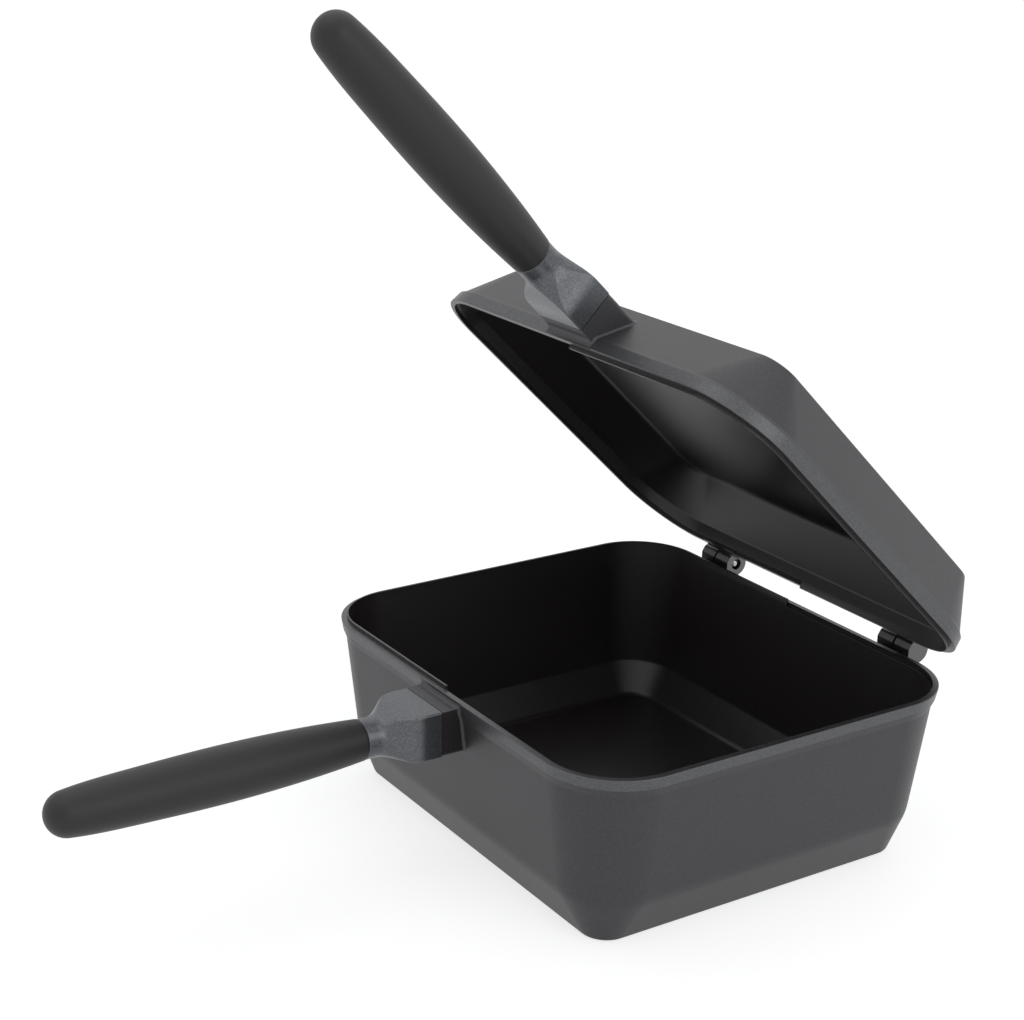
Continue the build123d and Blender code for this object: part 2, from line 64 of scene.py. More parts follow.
# Rims and the lap between them
BASE_RIM = 103.2 * MM
LID_RIM = 103.5 * MM
LIP = 3.4 * MM
LIP_WALL = 5.0 * MM
LAP_GAP = 0.25 * MM
TONGUE_HEIGHT = 2.0 * MM
REBATE_DEPTH = 2.3 * MM
LAP_FOOT = 2.8 * MM
LAP_EDGE = 0.22 * MM
REBATE_DRAFT = 0.2 * MM
BASE_BAND = 6.2 * MM
LID_BAND = 7.2 * MM

# Hinge
HINGE = frame["joints"][0]
HINGE_AT = Vector(HINGE["pos_m"])
REST_OPEN = -math.radians(HINGE["range_deg"][0])
STOP_OPEN = math.radians(105)
KNUCKLE_RADIUS = 7.6 * MM
KNUCKLE_WIDTH = 12.0 * MM
KNUCKLE_GAP = 1.5 * MM
HINGE_STARTS = {"left": -98.5 * MM, "right": 63.5 * MM}
PIN_RADIUS = 2.5 * MM
PIN_WALL = 1.8 * MM
PIN_RUNNING = 0.05 * MM
PIN_MOUTH = 3.5 * MM
PIN_MOUTH_DEPTH = 2.2 * MM
PIN_SUNK = 0.6 * MM
PIN_DOME = 1.2 * MM
LUG_INSET = 0.12 * MM
LID_PAD_HALF = 15.0 * MM

# Where the hinge's lugs are rooted in the back walls, in millimetres behind the axis
BASE_LUG_ROOT = -16.1
LID_LUG_ROOT = -16.5

# Bosses and handles
BOSS_HALF = 19.0 * MM
BOSS_REACH = 9.9 * MM
BOSS_FACE = RIM_FRONT - BOSS_REACH
BOSS_CORNER = 2.5 * MM
BOSS_FILLET = 1.7 * MM
BOSS_EDGE = 0.35 * MM
BOSS_ROOT = 0.7 * MM
HOLLOW_START = 0.55 * MM
PIN_HOLE_RADIUS = 1.05 * MM
PIN_HOLE_INSET = 3.6 * MM
PIN_HOLE_RISE = 4.3 * MM
NECK_LENGTH = 40.75 * MM
NECK_SHOULDER = 9.0 * MM
NECK_WAIST = 35.0 * MM
NECK_EDGE = 0.9 * MM
COLLAR_RADIUS = 11.2 * MM
NECK_FRONT_EDGE = 0.45 * MM
NECK_COLLAR_EDGE = 0.5 * MM

# Where each boss and grip sits: below the base's rim, and above the closed lid's
BASE_BOSS_TOP = 3.1 * MM
BASE_GRIP_DROP = 17.1 * MM
BASE_BOSS_BOTTOM = 29.7 * MM
LID_BOSS_BOTTOM = 4.2 * MM
LID_GRIP_RISE = 17.9 * MM
LID_BOSS_TOP = 29.0 * MM

# Grips
BASE_GRIP_LENGTH = 177.8 * MM
BASE_GRIP_TILT = 0.0
LID_GRIP_LENGTH = 173.2 * MM
LID_GRIP_TILT = math.radians(1.2)

# A grip's side line: (radius, distance from its seat, slope) at each knot, then its domed tip
GRIP_KNOTS = [
    (11.5 * MM, 0.6 * MM, 0.087),
    (13.55 * MM, 28.0 * MM, 0.058),
    (15.15 * MM, 86.6 * MM, -0.004),
    (14.4 * MM, 126.0 * MM, -0.027),
]
GRIP_TIP_RADIUS = 12.2 * MM
GRIP_TAPER = math.radians(7)

# Each pan's outside and inside: (inset from the rim's outline, height, corner, rounding)
BASE_OUTSIDE = [
    (26.3 * MM, 0.0, 14.0 * MM, 0),
    (22.6 * MM, 0.0, 14.0 * MM, 3.3 * MM),
    (10.5 * MM, 26.3 * MM, 33.5 * MM, 26.0 * MM),
    (2.2 * MM, 92.6 * MM, RIM_CORNER, 2.0 * MM),
    (0.8 * MM, 97.0 * MM, RIM_CORNER, 0.9 * MM),
    (0.0, BASE_RIM, RIM_CORNER, 0.6 * MM),
    (LIP, BASE_RIM, RIM_CORNER - LIP, 0),
]
BASE_INSIDE = [
    (5.32 * MM, BASE_RIM - LAP_FOOT, RIM_INNER_CORNER - 0.3 * MM, 0),
    (14.0 * MM, 24.7 * MM, 28.0 * MM, 6.0 * MM),
    (25.0 * MM, 4.5 * MM, 18.0 * MM, 5.0 * MM),
    (35.0 * MM, 4.5 * MM, 11.0 * MM, 0),
]
LID_OUTSIDE = [
    (26.2 * MM, LID_RIM + 38.0 * MM, 14.2 * MM, 0),
    (22.1 * MM, LID_RIM + 38.0 * MM, 14.2 * MM, 3.0 * MM),
    (2.2 * MM, LID_RIM + 9.0 * MM, RIM_CORNER, 1.4 * MM),
    (0.8 * MM, LID_RIM + 7.2 * MM, RIM_CORNER, 0.7 * MM),
    (0.0, LID_RIM, RIM_CORNER, 0.6 * MM),
    (LIP, LID_RIM, RIM_CORNER - LIP, 0),
]
LID_INSIDE = [
    (5.27 * MM, LID_RIM + LAP_FOOT, RIM_INNER_CORNER + 0.5 * MM, 0),
    (5.9 * MM, LID_RIM + 9.2 * MM, 38.5 * MM, 2.5 * MM),
    (23.8 * MM, LID_RIM + 35.0 * MM, 16.0 * MM, 6.0 * MM),
    (34.3 * MM, LID_RIM + 35.0 * MM, 12.0 * MM, 0),
]


# Camera
CAMERA_AT = (0.84247, -0.64883, 0.55167)
CAMERA_LENS = 70.286
CAMERA_SHIFT = (0.09231, 0.06131)
CAMERA_AROUND = math.radians(58.952)
CAMERA_ABOVE = math.radians(20.972)
CAMERA_ROLL = math.radians(0.322)


# Mesh helpers


def opening(angle):
    """The turn about the hinge that opens a closed lid by an angle."""
    there = Matrix.Translation(HINGE_AT)
    return there @ Matrix.Rotation(-angle, 4, "X") @ there.inverted()


def joined(parts):
    """One bmesh that holds several, and frees them."""
    whole = bmesh.new()
    for part in parts:
        mesh = bpy.data.meshes.new("part")
        part.to_mesh(mesh)
        part.free()
        whole.from_mesh(mesh)
        bpy.data.meshes.remove(mesh)
    return whole


def cut(bm, tool):
    """Takes one closed bmesh out of another. Both are freed. Each mesh needs two materials meanwhile,
    or the result loses which of them a face has."""
    objects = []
    for each in (bm, tool):
        bmesh.ops.recalc_face_normals(each, faces=each.faces)
        mesh = bpy.data.meshes.new("cut")
        each.to_mesh(mesh)
        each.free()
        for coat in (OUTSIDE_COAT, INSIDE_COAT):
            mesh.materials.append(coat)
        thing = bpy.data.objects.new("cut", mesh)
        bpy.context.scene.collection.objects.link(thing)
        objects.append(thing)
    body, cutter = objects
    modifier = body.modifiers.new("cut", "BOOLEAN")
    modifier.operation = "DIFFERENCE"
    modifier.solver = "EXACT"
    modifier.object = cutter
    bpy.context.view_layer.update()
    carved = bpy.data.meshes.new_from_object(body.evaluated_get(bpy.context.evaluated_depsgraph_get()))
    result = bmesh.new()
    result.from_mesh(carved)
    for thing in objects:
        mesh = thing.data
        bpy.data.objects.remove(thing)
        bpy.data.meshes.remove(mesh)
    bpy.data.meshes.remove(carved)
    return result


def soften(bm, width, steps=3, from_angle=30.0, pick=None):
    """Rounds the edges that are sharper than an angle, or those of them that pick takes."""
    limit = math.radians(from_angle)
    sharp = [edge for edge in bm.edges if edge.is_manifold and edge.calc_face_angle() > limit]
    edges = [edge for edge in sharp if pick is None or pick(edge)]
    bmesh.ops.bevel(
        bm,
        geom=edges,
        offset=width,
        segments=steps,
        profile=0.5,
        affect="EDGES",
        material=-1,
        clamp_overlap=True,
    )


def new_piece(name, bm, material, body, extra=()):
    """Makes the finished object, which rides on a body. A lid's piece is turned to rest. extra holds the
    materials of faces whose material index is 1 or more."""
    if body == "lid":
        bmesh.ops.transform(bm, matrix=opening(REST_OPEN), verts=bm.verts)
    bmesh.ops.recalc_face_normals(bm, faces=bm.faces)
    mesh = bpy.data.meshes.new(name)
    bm.to_mesh(mesh)
    bm.free()
    for each in (material, *extra):
        mesh.materials.append(each)
    mesh.shade_smooth()
    mesh.set_sharp_from_angle(angle=math.radians(SMOOTH_ANGLE))
    piece = bpy.data.objects.new(name, mesh)
    bpy.context.scene.collection.objects.link(piece)
    weigh = piece.modifiers.new("even shading", "WEIGHTED_NORMAL")
    weigh.keep_sharp = True
    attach(piece, body)
    return piece


def ring(bm, half_x, half_y, corner, place, steps=CORNER_STEPS):
    """The edges of a rounded rectangle in a place's own XY plane."""
    square = [bm.verts.new((sx * half_x, sy * half_y, 0)) for sx, sy in ((-1, -1), (1, -1), (1, 1), (-1, 1))]
    bm.faces.new(square)
    made = bmesh.ops.bevel(
        bm, geom=square, offset=corner, segments=steps, profile=0.5, affect="VERTICES", material=-1
    )
    face = made["verts"][0].link_faces[0]
    edges, verts = list(face.edges), list(face.verts)
    bmesh.ops.transform(bm, matrix=place, verts=verts)
    bmesh.ops.delete(bm, geom=[face], context="FACES_ONLY")
    return edges


def rim_ring(bm, inset, height, corner):
    """The rim's outline, drawn in by inset, at a height."""
    return ring(bm, PAN_WIDTH / 2 - inset, PAN_DEPTH / 2 - inset, corner, Matrix.Translation(UP * height))


def spread(bm, loops, way):
    """Moves each loop of edges one step further along a way than the loop before it."""
    for index, loop in enumerate(loops):
        verts = list({vert for edge in loop for vert in edge.verts})
        bmesh.ops.translate(bm, vec=way * index, verts=verts)


def skin(bm, loops, way, inside_from=None):
    """Joins loops of edges one after another and closes both ends. They are spread out meanwhile,
    because loops in one plane can be joined wrongly. Faces past loop inside_from get material 1."""
    inside_from = len(loops) if inside_from is None else inside_from
    spread(bm, loops, way)
    for index, (one, other) in enumerate(zip(loops, loops[1:])):
        made = bmesh.ops.bridge_loops(bm, edges=one + other)
        for face in made["faces"]:
            face.material_index = int(index >= inside_from)
    spread(bm, loops, -way)
    for loop, material in ((loops[0], 0), (loops[-1], int(inside_from < len(loops)))):
        made = bmesh.ops.contextual_create(bm, geom=loop)
        made["faces"][0].material_index = material


def rounded(sections):
    """Sections (inset, height, corner) with an arc wherever a rounding is given."""
    out = []
    for index, (inset, height, corner, radius) in enumerate(sections):
        here = Vector((inset, height, corner))
        if not radius:
            out.append(here)
            continue
        before, after = (Vector(sections[index + way][:3]) - here for way in (-1, 1))
        reach = radius / math.tan(before.to_2d().angle(after.to_2d()) / 2)
        start = here + before * min(reach / before.to_2d().length, 0.45)
        end = here + after * min(reach / after.to_2d().length, 0.45)
        for step in range(ROUND_STEPS + 1):
            t = step / ROUND_STEPS
            out.append(start * (1 - t) ** 2 + here * 2 * t * (1 - t) + end * t * t)
    return out


def prism(points, x_from, x_to):
    """A solid from x_from to x_to with a side outline of (y, z) or (y, z, rounding) corners."""
    bm = bmesh.new()
    verts = [bm.verts.new((x_from, point[0], point[1])) for point in points]
    bm.faces.new(verts)
    for vert, point in zip(verts, points):
        if len(point) > 2:
            bmesh.ops.bevel(
                bm,
                geom=[vert],
                offset=point[2],
                segments=10,
                profile=0.5,
                affect="VERTICES",
                material=-1,
            )
    made = bmesh.ops.extrude_face_region(bm, geom=list(bm.faces), use_keep_orig=True)
    moved = [item for item in made["geom"] if isinstance(item, bmesh.types.BMVert)]
    bmesh.ops.translate(bm, vec=(x_to - x_from, 0, 0), verts=moved)
    bmesh.ops.recalc_face_normals(bm, faces=bm.faces)
    return bm


def rod(radius, x_from, x_to, y, z, steps=48):
    """A round rod along X."""
    bm = bmesh.new()
    place = Matrix.Translation(((x_from + x_to) / 2, y, z)) @ Matrix.Rotation(math.pi / 2, 4, "Y")
    bmesh.ops.create_cone(
        bm, cap_ends=True, segments=steps, radius1=radius, radius2=radius, depth=x_to - x_from, matrix=place
    )
    return bm


def turned(points, place, steps=96):
    """A closed form turned about a place's own Z, from (radius, height) points."""
    bm = bmesh.new()
    chain = [bm.verts.new((radius, 0, height)) for radius, height in points]
    edges = [bm.edges.new(pair) for pair in zip(chain, chain[1:])]
    bmesh.ops.spin(
        bm, geom=chain + edges, cent=(0, 0, 0), axis=(0, 0, 1), angle=math.tau, steps=steps, use_merge=True
    )
    bmesh.ops.remove_doubles(bm, verts=bm.verts, dist=1e-6)
    bmesh.ops.transform(bm, matrix=place, verts=bm.verts)
    return bm


# Finishes


def group_socket(group, name, way, kind, value=None):
    """Adds a socket to a node group, with its default."""
    item = group.interface.new_socket(name=name, in_out=way, socket_type=kind)
    if value is not None:
        item.default_value = value


def math_node(tree, operation, *values):
    """A math node whose inputs are sockets or numbers."""
    node = tree.nodes.new("ShaderNodeMath")
    node.operation = operation
    for slot, value in zip(node.inputs, values):
        if hasattr(value, "node"):
            tree.links.new(value, slot)
        else:
            slot.default_value = value
    return node.outputs["Value"]


def flake_group():
    """Metal flakes in a dark coat: their colour, how rough it is and a grained normal."""
    group = bpy.data.node_groups.new("flake coat", "ShaderNodeTree")
    for name, value in (
        ("Flakes per m", 1500.0),
        ("Flake share", 0.3),
        ("Roughness", 0.4),
        ("Patchiness", 0.06),
        ("Grain", 0.2),
    ):
        group_socket(group, name, "INPUT", "NodeSocketFloat", value)
    group_socket(group, "Coat", "INPUT", "NodeSocketColor", (0.05, 0.05, 0.05, 1))
    group_socket(group, "Flake", "INPUT", "NodeSocketColor", (0.3, 0.3, 0.3, 1))
    group_socket(group, "Color", "OUTPUT", "NodeSocketColor")
    group_socket(group, "Roughness", "OUTPUT", "NodeSocketFloat")
    group_socket(group, "Normal", "OUTPUT", "NodeSocketVector")
    nodes, link = group.nodes, group.links.new
    given, out = nodes.new("NodeGroupInput"), nodes.new("NodeGroupOutput")
    place = nodes.new("ShaderNodeTexCoord").outputs["Object"]

    cells = nodes.new("ShaderNodeTexVoronoi")
    link(place, cells.inputs["Vector"])
    link(given.outputs["Flakes per m"], cells.inputs["Scale"])
    parts = nodes.new("ShaderNodeSeparateColor")
    link(cells.outputs["Color"], parts.inputs["Color"])
    shine = math_node(group, "POWER", parts.outputs["Red"], 2.0)
    share = math_node(group, "MULTIPLY", shine, given.outputs["Flake share"])
    colour = nodes.new("ShaderNodeMix")
    colour.data_type = "RGBA"
    link(share, colour.inputs["Factor"])
    link(given.outputs["Coat"], colour.inputs["A"])
    link(given.outputs["Flake"], colour.inputs["B"])
    link(colour.outputs["Result"], out.inputs["Color"])

    cloud = nodes.new("ShaderNodeTexNoise")
    cloud.inputs["Scale"].default_value = 22.0
    cloud.inputs["Detail"].default_value = 4.0
    link(place, cloud.inputs["Vector"])
    drift = math_node(group, "SUBTRACT", cloud.outputs["Fac"], 0.5)
    rough = math_node(group, "MULTIPLY_ADD", drift, given.outputs["Patchiness"], given.outputs["Roughness"])
    link(rough, out.inputs["Roughness"])

    grain = nodes.new("ShaderNodeTexNoise")
    grain.inputs["Detail"].default_value = 1.0
    link(place, grain.inputs["Vector"])
    link(given.outputs["Flakes per m"], grain.inputs["Scale"])
    height = math_node(group, "MULTIPLY_ADD", parts.outputs["Green"], 0.4, grain.outputs["Fac"])
    bump = nodes.new("ShaderNodeBump")
    bump.inputs["Distance"].default_value = 0.3 * MM
    link(given.outputs["Grain"], bump.inputs["Strength"])
    link(height, bump.inputs["Height"])
    link(bump.outputs["Normal"], out.inputs["Normal"])
    return group


FLAKES = flake_group()


def finish_of(name, coat, flake, values, shader_values=()):
    """A material made from the flake coat group. values are the group's, shader_values the shader's."""
    material = bpy.data.materials.new(name)
    material.use_nodes = True
    nodes, link = material.node_tree.nodes, material.node_tree.links.new
    shader = nodes["Principled BSDF"]
    flakes = nodes.new("ShaderNodeGroup")
    flakes.node_tree = FLAKES
    flakes.inputs["Coat"].default_value = (*coat, 1)
    flakes.inputs["Flake"].default_value = (*flake, 1)
    for key, value in values.items():
        flakes.inputs[key].default_value = value
    link(flakes.outputs["Color"], shader.inputs["Base Color"])
    link(flakes.outputs["Roughness"], shader.inputs["Roughness"])
    link(flakes.outputs["Normal"], shader.inputs["Normal"])
    for key, value in dict(shader_values).items():
        shader.inputs[key].default_value = value
    return material


OUTSIDE_COAT = finish_of(
    "outside flake coat",
    (0.057, 0.057, 0.06),
    (0.18, 0.185, 0.2),
    {"Flakes per m": 1900.0, "Flake share": 0.14, "Roughness": 0.46, "Patchiness": 0.06, "Grain": 0.08},
    {"Metallic": 0.55},
)
BAND_COAT = finish_of(
    "rim band flake coat",
    (0.095, 0.096, 0.101),
    (0.3, 0.305, 0.32),
    {"Flakes per m": 1700.0, "Flake share": 0.17, "Roughness": 0.41, "Patchiness": 0.05, "Grain": 0.09},
    {"Metallic": 0.75},
)
INSIDE_COAT = finish_of(
    "inside non-stick coat",
    (0.0165, 0.0132, 0.0132),
    (0.05, 0.048, 0.048),
    {"Flakes per m": 1300.0, "Flake share": 0.1, "Roughness": 0.38, "Patchiness": 0.06, "Grain": 0.05},
)
NECK_METAL = finish_of(
    "neck metal flake",
    (0.095, 0.099, 0.107),
    (0.4, 0.42, 0.45),
    {"Flakes per m": 1700.0, "Flake share": 0.16, "Roughness": 0.33, "Patchiness": 0.06, "Grain": 0.12},
    {"Metallic": 0.9},
)
GRIP_SKIN = finish_of(
    "soft-touch grip",
    (0.0085, 0.0085, 0.009),
    (0.025, 0.025, 0.025),
    {"Flakes per m": 2400.0, "Flake share": 0.2, "Roughness": 0.5, "Patchiness": 0.05, "Grain": 0.05},
)
HINGE_COAT = finish_of(
    "hinge gloss coat",
    (0.014, 0.014, 0.015),
    (0.1, 0.1, 0.105),
    {"Flakes per m": 1500.0, "Flake share": 0.2, "Roughness": 0.28, "Patchiness": 0.06, "Grain": 0.05},
)
# Painted light: a lighter metal on the knuckles' end faces stands in for the light they catch from the right.
PAINTED_LIT_END_METAL = finish_of(
    "hinge ends with painted light",
    (0.12, 0.12, 0.122),
    (0.2, 0.2, 0.2),
    {"Flakes per m": 3000.0, "Flake share": 0.3, "Roughness": 0.36, "Patchiness": 0.06, "Grain": 0.06},
    {"Metallic": 0.9},
)
PIN_STEEL = finish_of(
    "pin steel",
    (0.4, 0.4, 0.41),
    (0.7, 0.7, 0.71),
    {"Flakes per m": 3000.0, "Flake share": 0.4, "Roughness": 0.26, "Patchiness": 0.06, "Grain": 0.05},
    {"Metallic": 1.0},
)
INSERT_BRASS = finish_of(
    "insert brass",
    (0.55, 0.4, 0.17),
    (0.8, 0.62, 0.3),
    {"Flakes per m": 3000.0, "Flake share": 0.3, "Roughness": 0.32, "Patchiness": 0.06, "Grain": 0.06},
    {"Metallic": 1.0},
)
CORE_PLASTIC = finish_of(
    "grip core plastic",
    (0.03, 0.03, 0.03),
    (0.05, 0.05, 0.05),
    {"Flakes per m": 2000.0, "Flake share": 0.2, "Roughness": 0.55, "Patchiness": 0.05, "Grain": 0.08},
)


# The castings


def rim_place(x, y):
    """How far a point lies inside the rim's outline, and the way out of it."""
    past_x = abs(x) - (PAN_WIDTH / 2 - RIM_CORNER)
    past_y = abs(y) - (PAN_DEPTH / 2 - RIM_CORNER)
    if past_x > 0 and past_y > 0:
        way = Vector((past_x, past_y, 0))
        inset = RIM_CORNER - way.length
    elif past_x > past_y:
        way, inset = Vector((1, 0, 0)), RIM_CORNER - past_x
    else:
        way, inset = Vector((0, 1, 0)), RIM_CORNER - past_y
    way.normalize()
    return inset, Vector((math.copysign(way.x, x), math.copysign(way.y, y), 0))


def split_rim(bm, plane, splits):
    """Cuts the rim's own faces across at each x, so that the lap can change there."""
    reach = LAP_FOOT * 1.2
    for side, xs in splits.items():
        for x in xs:
            rim_verts = {vert for vert in bm.verts if abs(vert.co.z - plane) < reach and vert.co.y * side > 0}
            near = [face for face in bm.faces if rim_verts.issuperset(face.verts)]
            edges = {edge for face in near for edge in face.edges}
            verts = {vert for face in near for vert in face.verts}
            bmesh.ops.bisect_plane(
                bm, geom=near + list(edges) + list(verts), dist=1e-7, plane_co=(x, 0, 0), plane_no=(1, 0, 0)
            )


def casting(outside, inside, plane, up, band, splits):
    """A pan's whole skin. up is the way its rim faces, and band is how deep its brighter rim band is.
    splits gives (tongue end, rebate end) for -Y and +Y."""
    mark = 0.4 * MM * up
    bm = bmesh.new()
    outer = [rim_ring(bm, *section) for section in rounded(outside)]
    inner = [rim_ring(bm, *section) for section in rounded(inside)]
    tongue_foot = rim_ring(bm, LIP, plane + mark, RIM_CORNER - LIP)
    tongue_edge = rim_ring(bm, LIP_WALL, plane + 2 * mark, RIM_INNER_CORNER)
    skin(bm, outer + [tongue_foot, tongue_edge] + inner, UP * up, len(outer) - 1)
    split_rim(bm, plane, splits)

    marks = {}
    for vert in bm.verts:
        inset, way = rim_place(vert.co.x, vert.co.y)
        level = round((vert.co.z - plane) / mark)
        if abs(vert.co.z - plane - level * mark) > 1e-6 or level not in (0, 1, 2):
            continue
        if level == 0 and abs(inset - LIP) > 1e-5:
            continue
        marks[vert] = level
        tongue_end, rebate_end = splits[1 if vert.co.y > 0 else -1]
        on_tongue = (vert.co.x - tongue_end) * (tongue_end - rebate_end) > -1e-10
        if on_tongue:
            vert.co.z = plane + up * TONGUE_HEIGHT * (level > 0)
            vert.co -= way * LAP_GAP * (level < 2)
        else:
            vert.co.z = plane - up * REBATE_DEPTH * (level > 0)
            vert.co -= way * REBATE_DRAFT * (level == 2)
    lap = [edge for edge in bm.edges if marks.get(edge.verts[0], -1) == marks.get(edge.verts[1], -2)]
    bmesh.ops.bevel(
        bm,
        geom=lap,
        offset=LAP_EDGE,
        segments=2,
        profile=0.5,
        affect="EDGES",
        material=-1,
        clamp_overlap=True,
    )
    for face in bm.faces:
        if face.material_index == 0 and abs(face.calc_center_median().z - plane) < band:
            face.material_index = 2
    return bm


def relief_tool(plane, up, top):
    """What the round hollow above a boss takes away. top is how far from the rim the boss starts."""
    wall_y = RIM_FRONT + 0.02 * MM
    front_y, beyond = BOSS_FACE - 2 * MM, -6 * MM
    points = [
        (wall_y, HOLLOW_START),
        (wall_y, top, (top - HOLLOW_START) * 0.97),
        (front_y, top),
        (front_y, beyond),
        (wall_y, beyond),
    ]
    reach = BOSS_HALF + 4 * MM
    return prism([(point[0], plane - up * point[1], *point[2:]) for point in points], -reach, reach)


def wall_of(outside, plane):
    """An outside's (depth from the rim, inset) stations, from the rim on."""
    return [(abs(height - plane), inset) for inset, height, *_ in reversed(outside[1:-1])]


def inset_at(depth, stations):
    """A wall's inset at a depth from its rim, from (depth, inset) stations."""
    for (d0, i0), (d1, i1) in zip(stations, stations[1:]):
        if depth <= d1:
            return i0 + (i1 - i0) * max(depth - d0, 0) / (d1 - d0)
    return stations[-1][1]


def boss_ring(bm, plane, up, bottom, grow):
    """A boss's outline: square at the rim, round at its two outer corners."""
    half = BOSS_HALF + grow
    near, far = plane - up * 0.04 * MM, plane - up * (bottom + grow)
    outline = (-half, near), (half, near), (half, far), (-half, far)
    corners = [bm.verts.new((x, BOSS_FACE, z)) for x, z in outline]
    bm.faces.new(corners)
    made = bmesh.ops.bevel(
        bm,
        geom=corners[2:],
        offset=BOSS_CORNER + grow,
        segments=8,
        profile=0.5,
        affect="VERTICES",
        material=-1,
    )
    face = made["verts"][0].link_faces[0]
    long_edges = [edge for edge in face.edges if edge.calc_length() > BOSS_HALF]
    bmesh.ops.subdivide_edges(bm, edges=long_edges, cuts=23)
    edges = list(face.edges)
    bmesh.ops.delete(bm, geom=[face], context="FACES_ONLY")
    return edges


def boss(plane, up, top, bottom, stations, pin_side):
    """The block in front of a pan that carries a neck, with a fillet where it leaves the wall and a hole
    for the cross pin in one side. The base's boss has painted shade on its sides: they take the dark inside
    coat to stand in for the shaded wall they reflect."""
    bm = bmesh.new()
    steps = 7
    turns = [math.pi / 2 * step / steps for step in range(steps + 1)]
    fillet = [(BOSS_FILLET * (1 - math.cos(turn)), BOSS_FILLET * (1 - math.sin(turn))) for turn in turns]
    loops = [boss_ring(bm, plane, up, bottom, 0)]
    for grow, away in [*fillet, (BOSS_FILLET, -BOSS_ROOT)]:
        loop = boss_ring(bm, plane, up, bottom, grow)
        for vert in {vert for edge in loop for vert in edge.verts}:
            depth = up * (plane - vert.co.z)
            vert.co.y = RIM_FRONT + inset_at(depth, stations) - away
        loops.append(loop)
    skin(bm, loops, BACK)
    bm = cut(bm, relief_tool(plane, up, top))
    free_y = RIM_FRONT - 0.2 * MM
    soften(bm, BOSS_EDGE, from_angle=35, pick=lambda edge: all(vert.co.y < free_y for vert in edge.verts))
    side_y = RIM_FRONT - BOSS_FILLET
    # Painted shade: on the base, the boss's side faces get the dark inside coat for the shade and dark
    # reflection they show. It is not a coat of their own.
    for face in bm.faces:
        if up > 0 and abs(face.normal.x) > 0.98 and face.calc_center_median().y < side_y:
            face.material_index = 1
    hole_z = plane - up * (bottom - PIN_HOLE_RISE)
    ends = sorted((pin_side * (BOSS_HALF + MM), pin_side * (BOSS_HALF - 3 * MM)))
    return cut(bm, rod(PIN_HOLE_RADIUS, *ends, BOSS_FACE + PIN_HOLE_INSET, hole_z, 32))


def make_castings():
    """Both pans, each with its boss. The tongue and the rebate change places near the middle."""
    splits = {-1: (-0.5 * MM, 0.0), 1: (-4.8 * MM, -4.3 * MM)}
    shell = casting(BASE_OUTSIDE, BASE_INSIDE, BASE_RIM, 1, BASE_BAND, splits)
    pan = new_piece("base_shell", shell, OUTSIDE_COAT, "base", [INSIDE_COAT, BAND_COAT])
    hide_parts("base_pan")
    splits = {-1: (0.5 * MM, 0.0), 1: (0.5 * MM, 0.0)}
    shell = casting(LID_OUTSIDE, LID_INSIDE, LID_RIM, -1, LID_BAND, splits)
    pan = new_piece("lid_shell", shell, OUTSIDE_COAT, "lid", [INSIDE_COAT, BAND_COAT])
    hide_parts("lid_pan")

    wall = wall_of(BASE_OUTSIDE, BASE_RIM)
    block = boss(BASE_RIM, 1, BASE_BOSS_TOP, BASE_BOSS_BOTTOM, wall, 1)
    # Its second material, the inside coat, is painted shade on the boss's sides.
    new_piece("base_boss", block, OUTSIDE_COAT, "base", [INSIDE_COAT])
    wall = wall_of(LID_OUTSIDE, LID_RIM)
    block = boss(LID_RIM, -1, LID_BOSS_BOTTOM, LID_BOSS_TOP, wall, -1)
    new_piece("lid_boss", block, OUTSIDE_COAT, "lid")


# Handles


def neck(low, high, axis_z, tilt):
    """A neck: the boss's outline from low to high at one end, round about the grip's axis at the collar."""
    bm = bmesh.new()
    first, last = NECK_FRONT_EDGE, NECK_COLLAR_EDGE
    least_corner, straight = 0.6 * MM, 0.02 * MM
    stretches = 40
    step_length = (NECK_LENGTH - first - last) / stretches
    reaches = [(0, first), (first, 0)]
    reaches += [(first + step_length * step, 0) for step in range(1, stretches + 1)]
    reaches.append((NECK_LENGTH, last))
    loops = []
    for reach, shrink in reaches:
        eased = min(max((reach - NECK_SHOULDER) / (NECK_WAIST - NECK_SHOULDER), 0), 1)
        blend = eased**3 * (10 + eased * (6 * eased - 15))
        bottom = low + (axis_z - COLLAR_RADIUS - low) * blend
        top = high + (axis_z + COLLAR_RADIUS - high) * blend
        half_x = BOSS_HALF + (COLLAR_RADIUS - BOSS_HALF) * blend - shrink
        half_z = (top - bottom) / 2 - shrink
        corner = NECK_EDGE + (COLLAR_RADIUS - NECK_EDGE) * blend**1.5
        corner = min(max(corner - shrink, least_corner), half_x - straight, half_z - straight)
        lean = Matrix.Rotation(math.pi / 2 - tilt * reach / NECK_LENGTH, 4, "X")
        place = Matrix.Translation((0, BOSS_FACE - reach, (bottom + top) / 2)) @ lean
        loops.append(ring(bm, half_x, half_z, corner, place, 14))
    skin(bm, loops, -BACK)
    return bm


